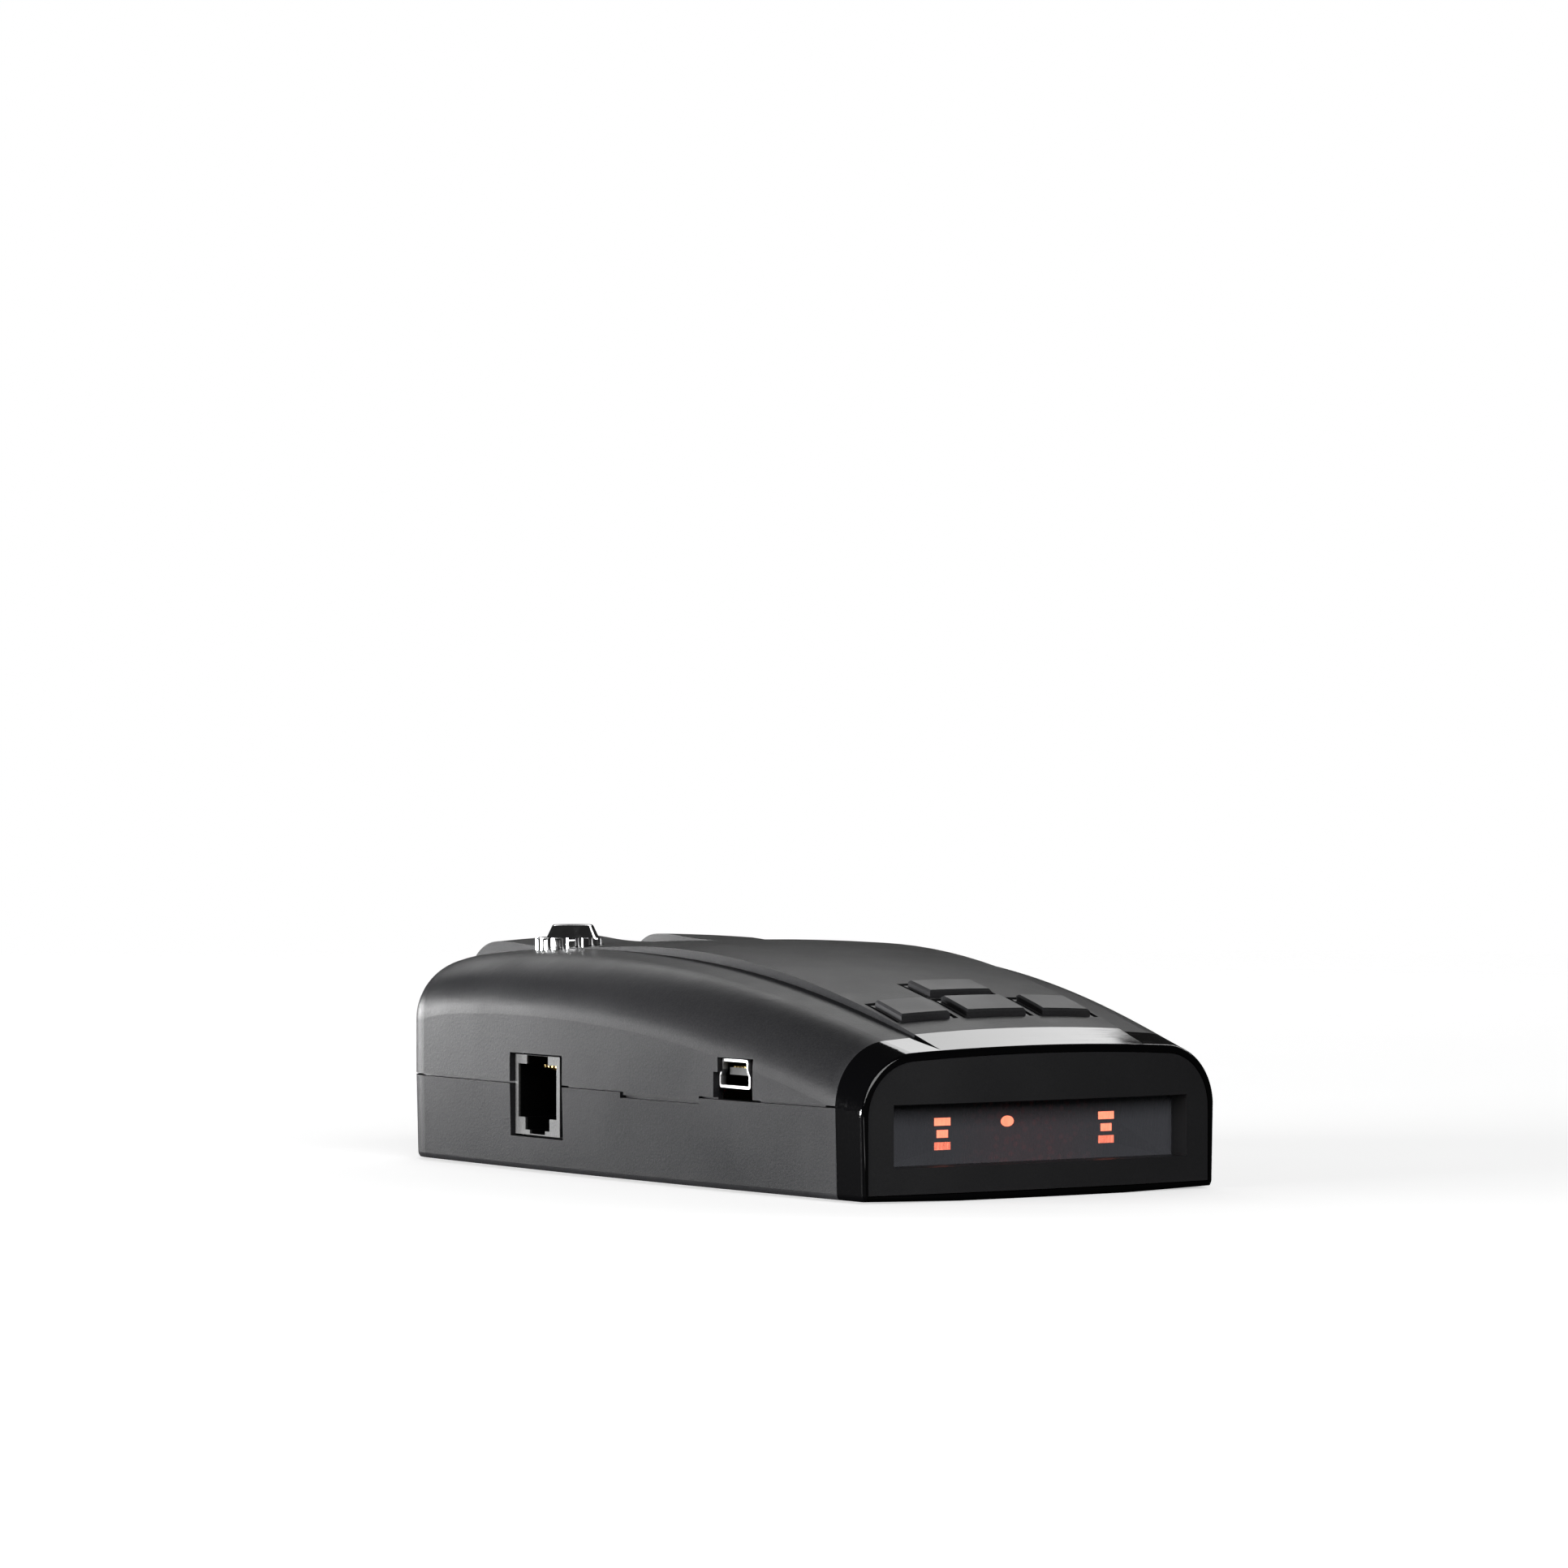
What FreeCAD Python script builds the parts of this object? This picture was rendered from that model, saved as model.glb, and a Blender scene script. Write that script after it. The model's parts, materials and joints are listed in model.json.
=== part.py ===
import FreeCAD, Part
import math
import os

from FreeCAD import Vector

os.makedirs("parts", exist_ok=True)

# Frame: X across the case, +Y towards the antenna end, the display faces -Y, +Z up.
# Heights are drawn from the side edges of the underside and lengths from DATUM_Y behind the
# middle; save() moves every sub-part so the origin is the centre of the underside's flat middle.

# Case
LENGTH = 120.65
WIDTH = 69.85
DATUM_Y = 0.55
FRONT_Y = DATUM_Y + LENGTH / 2
FACE_Y = DATUM_Y - LENGTH / 2
JOINT_Y = -52.95
WIDEST_Y = 40.0
JOINT_HALF_WIDTH = 30.3
FRONT_RADIUS = 1000.0
CORNER_RADIUS = 9.2
SHOULDER_RADIUS = 8.9
CROWN_RADIUS = 290.0
WALL = 2.0
FLOOR_Z = 1.6
SAG = 0.5
SAG_FLAT = 14.0
UNDERSIDE_ROUND = 1.2
DRAFT = 0.3
SEAM_Z = 12.4
SEAM_GAP = 0.3
LIP = 0.85
LIP_HEIGHT = 1.2

# Crest height along Y, for the shoulders and for the raised centre panel
STATIONS = (-64.0, -53.0, -44.5, -36.5, -17.5, 14.5, 42.0, 62.0)
SHOULDER_CREST = (19.4, 22.0, 24.2, 26.1, 29.6, 32.2, 32.0, 26.9)
PANEL_CREST = (19.1, 22.4, 25.0, 27.1, 30.9, 33.0, 32.6, 29.9)
PANEL_HALF_WIDTH = 17.3
PANEL_SPREAD = 0.045

# Display end
FACE_RADIUS = 342.0
BEZEL_EDGE = 0.5
RIM = 1.0
PANEL_GAP = 0.12
LEDGE_Y = -55.95
BEZEL_INSET = 3.1
SLEEVE_INSET = 2.1
SLEEVE_Y = -49.95
WINDOW_HALF = 24.7
WINDOW_LOW = 4.2
WINDOW_HIGH = 12.75
WINDOW_Y = -55.25
WINDOW_T = 1.0
MODULE_T = 2.4
BAR_PITCH = 1.66
BAR_LONG = 2.7
BAR_SHORT = 1.9
BAR_HEIGHT = 1.06
LEFT_BARS_X = -13.6
RIGHT_BARS_X = 14.1
BARS_Z = 8.3
DOT_X = -2.74
DOT_Z = 9.69
DOT_HALF_LONG = 1.1
DOT_HALF_SHORT = 0.75

# Keys
KEY_NEAR_Y = -47.9
KEY_DEPTH = 6.4
TOP_KEY_NEAR_Y = -39.2
TOP_KEY_DEPTH = 5.4
MID_KEY_WIDTH = 9.9
TOP_KEY_WIDTH = 10.5
SIDE_KEY_WIDTH = 8.1
SIDE_KEY_X = 11.95
KEY_PROUD = 0.85
KEY_BASE = -0.6
KEY_FLANGE_TOP = -0.1
KEY_FLANGE = 0.45
KEY_BEVEL = 0.3
POCKET_DEPTH = 1.4
POCKET_SIDE = 1.1
POCKET_NEAR = 0.55
POCKET_FAR = 1.2
STEM_X = 3.0
STEM_Y = 2.0
STEM_END_Z = 20.3
KEY_CLEAR = 0.1

# Boards
BOARD_Z = 17.95
BOARD_T = 1.0
BOARD_TOP = BOARD_Z + BOARD_T
BOARD_BOSSES = ((-24.0, -14.0), (24.0, -30.0), (24.0, 6.0), (-8.0, 8.0))

# Phone-type power jack in the left wall
JACK_Y = 19.7
JACK_FACE_X = -33.9
JACK_DEPTH = 15.0
JACK_OPENING = (11.8, 26.1, 4.6, 16.8)
JACK_NOSE_HALF = 6.3
JACK_NOSE_LOW = 4.9
JACK_NOSE_HIGH = 16.5
JACK_MOUTH_HALF = 5.4
JACK_MOUTH_LOW = 7.4
JACK_MOUTH_HIGH = 15.2
JACK_MOUTH_DEPTH = 11.5

# Mini-USB socket in the left wall
USB_Y = -30.05
USB_FACE_X = -31.7
USB_LOW = 13.95
USB_HIGH = 17.95
USB_HALF_WIDE = 3.95
USB_HALF_NARROW = 3.4
USB_DEPTH = 9.2
USB_WALL = 0.35

# Seam notch in the left wall of the lower case
NOTCH_Y = (-22.6, -3.3)
NOTCH_DROP = 0.95
NOTCH_DEPTH = 1.0
TAB_INSET = 0.25
TAB_DEPTH = 0.85
TAB_GAP = 0.4

# Case screws
REAR_SCREW = (24.5, -43.0)
FRONT_SCREW = (28.0, 40.0)
POST_RADIUS = 3.2
SCREW_HEAD_R = 2.2
SCREW_HEAD_Z = 2.2
SCREW_SEAT_Z = 4.0
SCREW_R = 1.25
SCREW_END_Z = 16.5
SCREW_CLEAR = 0.05

# Mount slot in the top of the antenna end, and its release button
CHANNEL_HALF = 10.5
CHANNEL_Y = 28.0
CHANNEL_Z = 24.6
SLOT_FLOOR_Z = 27.8
SLOT_NECK_HALF = 6.5
SLOT_HALF = 8.7
SLOT_LIP_Z = 29.6
SLOT_Y = 32.0
PAWL_Y = 47.0
PAWL_HALF_X = 2.5
PAWL_HALF_Y = 2.5
PAWL_TOP_Z = 29.1
BUTTON_X = -18.5
BUTTON_Y = 36.5
BUTTON_R = 5.0
BUTTON_LOBES = 14
BUTTON_FLUTE_R = 0.75
BUTTON_LOW_Z = 30.3
BUTTON_STEP_Z = 33.1
BUTTON_TOP_Z = 35.0
WELL_R = 5.4
WELL_FLOOR_Z = 27.0
WELL_BOSS_R = 6.8
WELL_BOSS_Z = 25.4
STEM_R = 2.2
LATCH_Z = 22.6
LATCH_T = 1.4
SPRING_LOW_Z = 16.0
SPRING_R = 2.9
SPRING_WIRE_R = 0.3
SPRING_TURNS = 6

# Horn antenna
HORN_Y = (20.0, 34.0, 56.5)
HORN_HALF = (9.0, 16.5)
HORN_TOP_Z = 20.0
HORN_WALL = 1.2

# Laser eye in the front wall
EYE_X = 21.5
EYE_Z = 17.0
EYE_R = 3.4

# Speaker on the floor
SPEAKER_X = 0.0
SPEAKER_Y = -21.0
SPEAKER_R = 14.0

# Blank label on the underside
LABEL_HALF_X = 13.0
LABEL_Y = (9.0, 49.0)
LABEL_T = 0.12
LABEL_RECESS = 0.15

SIDE_RADIUS = (((WIDEST_Y - JOINT_Y) ** 2 + (WIDTH / 2 - JOINT_HALF_WIDTH) ** 2)
               / (2 * (WIDTH / 2 - JOINT_HALF_WIDTH)))


def box(x0, x1, y0, y1, z0, z1):
    return Part.makeBox(x1 - x0, y1 - y0, z1 - z0, Vector(x0, y0, z0))


def post(x, y, radius, z0, z1):
    return Part.makeCylinder(radius, z1 - z0, Vector(x, y, z0))


def arc(first, middle, last):
    return Part.Arc(Vector(*first), Vector(*middle), Vector(*last)).toShape()


def extruded(points, along):
    wire = Part.makePolygon([Vector(*point) for point in points + points[:1]])
    return Part.Face(wire).extrude(Vector(*along))


def fused(shapes):
    return shapes[0].multiFuse(shapes[1:])


def save(name, shape):
    lifted = shape.copy()
    lifted.translate(Vector(0, -DATUM_Y, SAG))
    lifted.exportStep("parts/" + name + ".step")


# ---- outer form -------------------------------------------------------------------------

def side_x(y, inset):
    centre = WIDTH / 2 - SIDE_RADIUS
    return centre + math.sqrt((SIDE_RADIUS - inset) ** 2 - (y - WIDEST_Y) ** 2)


def front_y(x, inset):
    centre = FRONT_Y - FRONT_RADIUS
    return centre + math.sqrt((FRONT_RADIUS - inset) ** 2 - x * x)


def plan_outline(inset, rear, z):
    corner = FRONT_Y - 1
    for _ in range(20):
        half = side_x(corner, inset)
        corner = front_y(half, inset)
    middle = (rear + corner) / 2
    back = side_x(rear, inset)
    side = side_x(middle, inset)
    return Part.Wire([
        arc((-back, rear, z), (-side, middle, z), (-half, corner, z)),
        arc((-half, corner, z), (0, FRONT_Y - inset, z), (half, corner, z)),
        arc((half, corner, z), (side, middle, z), (back, rear, z)),
        Part.makeLine(Vector(back, rear, z), Vector(-back, rear, z)),
    ])


def is_upright(edge):
    start = edge.Vertexes[0].Point
    end = edge.Vertexes[-1].Point
    return math.hypot(start.x - end.x, start.y - end.y) < 1e-6 and start.y > 0


def plan_prism(inset, rear, low, high):
    outline = Part.Face(plan_outline(inset, rear, low))
    prism = outline.extrude(Vector(0, 0, high - low))
    corners = [edge for edge in prism.Edges if is_upright(edge)]
    return prism.makeFillet(CORNER_RADIUS - inset, corners)


def crest_solid(crest, lift, inset, low):
    radius = CROWN_RADIUS - inset
    reach = 42.0
    drop = radius - math.sqrt(radius ** 2 - reach ** 2)
    sections = []
    for y, height in zip(STATIONS, crest):
        top = height + lift - inset
        sections.append(Part.Wire([
            arc((-reach, y, top - drop), (0, y, top), (reach, y, top - drop)),
            Part.makeLine(Vector(reach, y, top - drop), Vector(reach, y, low)),
            Part.makeLine(Vector(reach, y, low), Vector(-reach, y, low)),
            Part.makeLine(Vector(-reach, y, low), Vector(-reach, y, top - drop)),
        ]))
    return Part.makeLoft(sections, True, False)


def hull(crest, inset, rear, low, high=60.0):
    prism = plan_prism(inset, rear, low, high)
    solid = prism.common(crest_solid(crest, 0.0, inset, low - 5)).Solids[0]
    rims = [edge for edge in solid.Edges
            if all(v.Z > 15 for v in edge.Vertexes) and edge.BoundBox.YMax > rear + 1]
    return solid.makeFillet(SHOULDER_RADIUS - inset, rims)


def lower_outline(inset, rear, z):
    faces = plan_prism(inset, rear, z, z + 1).Faces
    return [face.OuterWire for face in faces if face.BoundBox.ZMax < z + 1e-6][0]


def leaning_walls():
    rear = FACE_Y - 1.5
    lower = Part.makeLoft([lower_outline(DRAFT, rear, -SAG), lower_outline(0.0, rear, SEAM_Z)], True, True)
    foot = [edge for edge in lower.Edges
            if all(abs(v.Z + SAG) < 1e-6 for v in edge.Vertexes) and edge.BoundBox.YMax > rear + 1]
    return lower.makeFillet(UNDERSIDE_ROUND, foot).fuse(box(-50, 50, rear, 70, SEAM_Z, 60))


def panel_wedge():
    rear = FACE_Y - 2
    front = FRONT_Y + 2
    back = PANEL_HALF_WIDTH + PANEL_SPREAD * (rear - JOINT_Y)
    fore = PANEL_HALF_WIDTH + PANEL_SPREAD * (front - JOINT_Y)
    outline = [(-back, rear, 15), (back, rear, 15), (fore, front, 15), (-fore, front, 15)]
    return extruded(outline, (0, 0, 30))


def underside():
    edge = WIDTH / 2 + 2
    rear = FACE_Y - 2
    outline = [(-edge, rear, 0), (-SAG_FLAT, rear, -SAG), (SAG_FLAT, rear, -SAG),
               (edge, rear, 0), (edge, rear, 45), (-edge, rear, 45)]
    return extruded(outline, (0, LENGTH + 4, 0))


def on_face(edge):
    points = [edge.valueAt(edge.FirstParameter), edge.valueAt(edge.LastParameter),
              edge.valueAt((edge.FirstParameter + edge.LastParameter) / 2)]
    centre = Vector(0, FACE_Y + FACE_RADIUS, 0)
    reach = [math.hypot(p.x - centre.x, p.y - centre.y) for p in points]
    return all(abs(r - FACE_RADIUS) < 1e-3 for r in reach)


def finished(crest):
    face = Part.makeCylinder(FACE_RADIUS, 60, Vector(0, FACE_Y + FACE_RADIUS, -10))
    solid = hull(crest, 0.0, FACE_Y - 1.5, -SAG).common(leaning_walls())
    solid = solid.common(underside()).common(face).removeSplitter()
    return solid.makeFillet(BEZEL_EDGE, [edge for edge in solid.Edges if on_face(edge)])


def outer_form():
    wedge = panel_wedge()
    shoulders = finished(SHOULDER_CREST).cut(wedge)
    return shoulders.fuse(finished(PANEL_CREST).common(wedge))


def inner_form(inset, rear, low):
    return hull(SHOULDER_CREST, inset, rear, low)


# ---- keys -------------------------------------------------------------------------------

KEYS = {
    "volume_down_key": (-SIDE_KEY_X, KEY_NEAR_Y, SIDE_KEY_WIDTH, KEY_DEPTH),
    "mute_key": (0.0, KEY_NEAR_Y, MID_KEY_WIDTH, KEY_DEPTH),
    "volume_up_key": (SIDE_KEY_X, KEY_NEAR_Y, SIDE_KEY_WIDTH, KEY_DEPTH),
    "power_key": (0.0, TOP_KEY_NEAR_Y, TOP_KEY_WIDTH, TOP_KEY_DEPTH),
}


def panel_layer(lift):
    return crest_solid(PANEL_CREST, lift, 0.0, 5.0)


def key_block(key, grow_side, grow_near, grow_far):
    x, near, width, depth = key
    half = width / 2 + grow_side
    return box(x - half, x + half, near - grow_near, near + depth + grow_far, 15, 40)


def key_centre_y(key):
    return key[1] + key[3] / 2


def key_barb_z(key):
    y = key_centre_y(key) - STEM_Y
    for low, high, z_low, z_high in zip(STATIONS, STATIONS[1:], SHOULDER_CREST, SHOULDER_CREST[1:]):
        if low <= y <= high:
            return z_low + (z_high - z_low) * (y - low) / (high - low) - WALL - 0.35


def key_pockets():
    above = panel_layer(-POCKET_DEPTH)
    tools = []
    for key in KEYS.values():
        tools.append(key_block(key, POCKET_SIDE, POCKET_NEAR, POCKET_FAR).cut(above))
        x = key[0]
        y = key_centre_y(key)
        half_x = STEM_X / 2 + KEY_CLEAR
        half_y = STEM_Y / 2 + KEY_CLEAR
        tools.append(box(x - half_x, x + half_x, y - half_y, y + half_y, BOARD_TOP, 35))
    return tools


def make_keys():
    cap_top = panel_layer(KEY_PROUD)
    flange_top = panel_layer(KEY_FLANGE_TOP)
    base = panel_layer(KEY_BASE)
    for name, key in KEYS.items():
        cap = key_block(key, 0, 0, 0).common(cap_top)
        rim = [edge for edge in cap.Edges if all(v.Z > STEM_END_Z for v in edge.Vertexes)]
        lowest = min(v.Z for edge in rim for v in edge.Vertexes)
        cap = cap.makeChamfer(KEY_BEVEL, rim).cut(base)
        flange = key_block(key, KEY_FLANGE, POCKET_NEAR - 0.3, KEY_FLANGE).common(flange_top).cut(base)
        x = key[0]
        y = key_centre_y(key)
        stem = box(x - STEM_X / 2, x + STEM_X / 2, y - STEM_Y / 2, y + STEM_Y / 2,
                   STEM_END_Z, lowest - 0.4)
        barb_z = key_barb_z(key)
        barb = box(x - STEM_X / 2 - 0.5, x + STEM_X / 2 + 0.5, y - STEM_Y / 2, y + STEM_Y / 2,
                   barb_z - 0.6, barb_z)
        save(name, cap.fuse(flange).fuse(stem).fuse(barb).removeSplitter())


def make_key_switches():
    switches = []
    for key in KEYS.values():
        y = key_centre_y(key)
        body = box(key[0] - 2.3, key[0] + 2.3, y - 2.0, y + 2.0, BOARD_TOP, BOARD_TOP + 0.5)
        dome = post(key[0], y, 1.5, BOARD_TOP + 0.5, BOARD_TOP + 0.8)
        switches.append(body.fuse(dome))
    save("key_switches", Part.Compound(switches))


# ---- case -------------------------------------------------------------------------------

def screw_spots():
    return [(side * x, y) for x, y in (REAR_SCREW, FRONT_SCREW) for side in (-1, 1)]


def jack_opening():
    y0, y1, z0, z1 = JACK_OPENING
    return box(-40, -30, y0, y1, z0, z1)


def usb_opening():
    low = SEAM_Z + SEAM_GAP / 2
    outline = [(-40, -34.9, low - 1), (-40, -25.9, low - 1), (-40, -25.9, 16.1), (-40, -26.9, 16.1),
               (-40, -26.9, 18.15), (-40, -34.9, 18.15)]
    relief = box(USB_FACE_X - 0.2, -28, -34.9, -25.9, low - 1, 18.15)
    return extruded(outline, (12, 0, 0)).fuse(relief)


def eye_axis(radius, y0, y1):
    return Part.makeCylinder(radius, y1 - y0, Vector(EYE_X, y0, EYE_Z), Vector(0, 1, 0))


def wall_band(outer_inset, inner_inset, y0, y1, z0, z1):
    band = plan_prism(outer_inset, JOINT_Y - 5, z0, z1).common(box(-50, 0, y0, y1, z0, z1))
    return band.cut(plan_prism(inner_inset, JOINT_Y - 5, z0 - 1, z1 + 1))


def make_upper_case(outer):
    split = SEAM_Z + SEAM_GAP / 2
    shell = outer.common(box(-50, 50, JOINT_Y, 70, split, 60))
    hollow = inner_form(WALL, JOINT_Y - 5, split - 5)
    shell = shell.cut(hollow)
    relief = plan_prism(WALL - LIP - 0.15, JOINT_Y - 5, split - 1, SEAM_Z + LIP_HEIGHT + 0.15)
    shell = shell.cut(relief)
    bosses = [post(x, y, 3.0, split, 28) for x, y in screw_spots()]
    bosses += [post(x, y, 2.2, BOARD_TOP, 32) for x, y in BOARD_BOSSES]
    bosses.append(post(BUTTON_X, BUTTON_Y, WELL_BOSS_R, WELL_BOSS_Z, 32))
    bosses = [boss.common(inner_form(WALL - 0.5, JOINT_Y - 5, split - 5)) for boss in bosses]
    y0, y1 = NOTCH_Y
    tab = wall_band(TAB_INSET, TAB_DEPTH, y0 + TAB_GAP, y1 - TAB_GAP, SEAM_Z - NOTCH_DROP + TAB_GAP, split + 0.5)
    shell = fused([shell, tab] + bosses)
    holes = [post(x, y, SCREW_R + SCREW_CLEAR, split - 1, SCREW_END_Z + 0.5) for x, y in screw_spots()]
    holes += [post(x, y, 0.95, BOARD_TOP - 1, BOARD_TOP + 4.2) for x, y in BOARD_BOSSES]
    holes.append(post(BUTTON_X, BUTTON_Y, WELL_R, WELL_FLOOR_Z, 40))
    holes.append(post(BUTTON_X, BUTTON_Y, STEM_R + 0.08, 20, 40))
    holes.append(box(-CHANNEL_HALF, CHANNEL_HALF, CHANNEL_Y, 70, CHANNEL_Z, 45))
    holes.append(eye_axis(EYE_R + 0.02, 50, 70))
    holes += [jack_opening(), usb_opening()]
    return shell.cut(Part.Compound(holes)).cut(Part.Compound(key_pockets()))


def speaker_slots():
    slots = []
    for step in range(-4, 5):
        x = SPEAKER_X + step * 2.6
        reach = math.sqrt(11.5 ** 2 - (step * 2.6) ** 2)
        slots.append(box(x - 0.7, x + 0.7, SPEAKER_Y - reach, SPEAKER_Y + reach, -2, 3))
    return slots


def make_lower_case(outer):
    split = SEAM_Z - SEAM_GAP / 2
    shell = outer.common(box(-50, 50, JOINT_Y, 70, -5, split))
    shell = shell.cut(inner_form(WALL, JOINT_Y - 5, FLOOR_Z))
    lip = plan_prism(WALL - LIP, SLEEVE_Y + 0.5, split - 2, SEAM_Z + LIP_HEIGHT)
    lip = lip.cut(plan_prism(WALL, SLEEVE_Y - 5, split - 3, SEAM_Z + LIP_HEIGHT + 1))
    lip = lip.cut(box(-50, 50, SLEEVE_Y - 6, SLEEVE_Y + 0.5, 0, 30))
    lip = lip.cut(box(-40, -30, -35.3, -25.5, split, 20))
    posts = [post(x, y, POST_RADIUS, FLOOR_Z - 1, split) for x, y in screw_spots()]
    posts.append(post(BUTTON_X, BUTTON_Y, 3.6, FLOOR_Z - 1, SPRING_LOW_Z))
    posts.append(box(18.6, 25.4, 54.0, 55.2, FLOOR_Z - 1, split))
    ring = post(SPEAKER_X, SPEAKER_Y, SPEAKER_R + 1.3, FLOOR_Z - 1, 6.0)
    ring = ring.cut(post(SPEAKER_X, SPEAKER_Y, SPEAKER_R + 0.2, FLOOR_Z - 2, 7.0))
    shell = fused([shell, lip, ring] + posts)
    y0, y1 = NOTCH_Y
    holes = [post(x, y, SCREW_HEAD_R + 0.2, -2, SCREW_SEAT_Z) for x, y in screw_spots()]
    holes += [post(x, y, SCREW_R + 0.15, 0, 20) for x, y in screw_spots()]
    holes.append(jack_opening())
    holes.append(wall_band(-0.5, NOTCH_DEPTH, y0, y1, SEAM_Z - NOTCH_DROP, SEAM_Z + 0.3))
    holes += speaker_slots()
    holes.append(box(-LABEL_HALF_X, LABEL_HALF_X, LABEL_Y[0], LABEL_Y[1], -2, -SAG + LABEL_RECESS))
    return shell.cut(Part.Compound(holes))


# ---- display end ------------------------------------------------------------------------

def window_block(grow, y0, y1):
    return box(-WINDOW_HALF - grow, WINDOW_HALF + grow, y0, y1, WINDOW_LOW - grow, WINDOW_HIGH + grow)


def make_bezel(outer):
    ring = outer.common(box(-50, 50, -70, JOINT_Y, -5, 60))
    ring = ring.cut(inner_form(RIM, FACE_Y - 2, RIM - SAG).common(box(-50, 50, -70, LEDGE_Y, -5, 60)))
    core = inner_form(BEZEL_INSET, FACE_Y - 2, FLOOR_Z + 1.0)
    sleeve = inner_form(SLEEVE_INSET, FACE_Y - 2, FLOOR_Z + 0.05)
    sleeve = sleeve.common(box(-50, 50, JOINT_Y - 1, SLEEVE_Y, -5, 60))
    return ring.fuse(sleeve).cut(core).removeSplitter()


def make_face_panel():
    face = Part.makeCylinder(FACE_RADIUS, 60, Vector(0, FACE_Y + 0.1 + FACE_RADIUS, -10))
    plate = inner_form(RIM + PANEL_GAP, FACE_Y - 2, RIM - SAG + PANEL_GAP).common(face)
    plate = plate.common(box(-50, 50, -70, LEDGE_Y, -5, 60))
    collar = window_block(1.2, LEDGE_Y - 0.5, WINDOW_Y)
    return plate.fuse(collar).cut(window_block(0, -70, -50)).removeSplitter()


def display_marks(y0, y1):
    marks = []
    for x in (LEFT_BARS_X, RIGHT_BARS_X):
        for step in (-1, 0, 1):
            half = (BAR_SHORT if step == 0 else BAR_LONG) / 2
            z = BARS_Z + step * BAR_PITCH
            marks.append(box(x - half, x + half, y0, y1, z - BAR_HEIGHT / 2, z + BAR_HEIGHT / 2))
    oval = Part.Ellipse(Vector(DOT_X, y0, DOT_Z), DOT_HALF_LONG, DOT_HALF_SHORT).toShape()
    oval.rotate(Vector(DOT_X, y0, DOT_Z), Vector(1, 0, 0), 90)
    marks.append(Part.Face(Part.Wire([oval])).extrude(Vector(0, y1 - y0, 0)))
    return marks


def make_display():
    back = WINDOW_Y + WINDOW_T
    save("display_window", window_block(1.2, WINDOW_Y, back))
    marks = display_marks(back, back + 0.25)
    save("display_segments", Part.Compound(marks))
    module = window_block(0.4, back, back + MODULE_T).cut(Part.Compound(display_marks(back - 1, back + 0.25)))
    save("display_module", module)
    board_y = back + MODULE_T
    outline = [(-25.4, 3.1), (25.4, 3.1), (25.4, 13.4), (21.5, 17.0), (-21.5, 17.0), (-25.4, 13.4)]
    save("display_board", extruded([(x, board_y, z) for x, z in outline], (0, 1.0, 0)))
    header_y = board_y + 1.0
    header = box(-12, 12, header_y, header_y + 2.5, BOARD_Z - 2.5, BOARD_Z)
    pins = [box(x - 0.3, x + 0.3, header_y + 2.5, header_y + 3.6, BOARD_Z - 1.6, BOARD_Z - 1.0)
            for x in range(-10, 11, 2)]
    save("board_header", fused([header] + pins))


# ---- boards and electronics -------------------------------------------------------------

def make_main_board():
    outline = [(-20.5, -49.0), (20.5, -49.0), (20.5, -38.0), (27.5, -36.0), (30.0, 12.0), (-15.0, 12.0),
               (-15.0, 28.0), (-31.5, 28.0), (-31.0, 12.0), (-28.0, -36.0), (-20.5, -38.0)]
    board = extruded([(x, y, BOARD_Z) for x, y in outline], (0, 0, BOARD_T))
    holes = [post(x, y, 1.0, BOARD_Z - 1, BOARD_TOP + 1) for x, y in BOARD_BOSSES]
    save("main_board", board.cut(Part.Compound(holes)))


def chip(x, y, half_x, half_y, height):
    return box(x - half_x, x + half_x, y - half_y, y + half_y, BOARD_TOP, BOARD_TOP + height)


def make_board_parts():
    save("processor_chip", chip(-9.0, -20.0, 5.0, 5.0, 1.2))
    chips = [chip(6.0, -24.0, 3.0, 2.4, 1.0), chip(14.0, -22.0, 2.4, 3.0, 1.4), chip(-20.0, -26.0, 3.2, 2.2, 1.2),
             chip(-24.0, 0.0, 2.0, 3.2, 1.4), chip(16.0, 8.0, 3.0, 2.0, 1.1)]
    save("support_chips", Part.Compound(chips))
    cans = [post(x, y, 2.5, BOARD_TOP, BOARD_TOP + 5.0) for x, y in ((-16.0, 2.0), (-22.0, 20.0))]
    cans = [can.makeFillet(0.4, [edge for edge in can.Edges if edge.BoundBox.ZMin > BOARD_TOP + 4])
            for can in cans]
    save("capacitors", Part.Compound(cans))
    patch = chip(8.0, -6.0, 9.0, 9.0, 4.0)
    feed = post(6.5, -6.0, 0.9, BOARD_TOP + 4.0, BOARD_TOP + 4.3)
    save("gps_antenna", patch.fuse(feed))
    screws = []
    for x, y in BOARD_BOSSES:
        head = post(x, y, 1.8, BOARD_Z - 1.1, BOARD_Z)
        slot = box(x - 1.8, x + 1.8, y - 0.25, y + 0.25, BOARD_Z - 1.2, BOARD_Z - 0.6)
        screws.append(head.cut(slot).fuse(post(x, y, 0.9, BOARD_Z, BOARD_TOP + 4.0)))
    save("board_screws", Part.Compound(screws))


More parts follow.
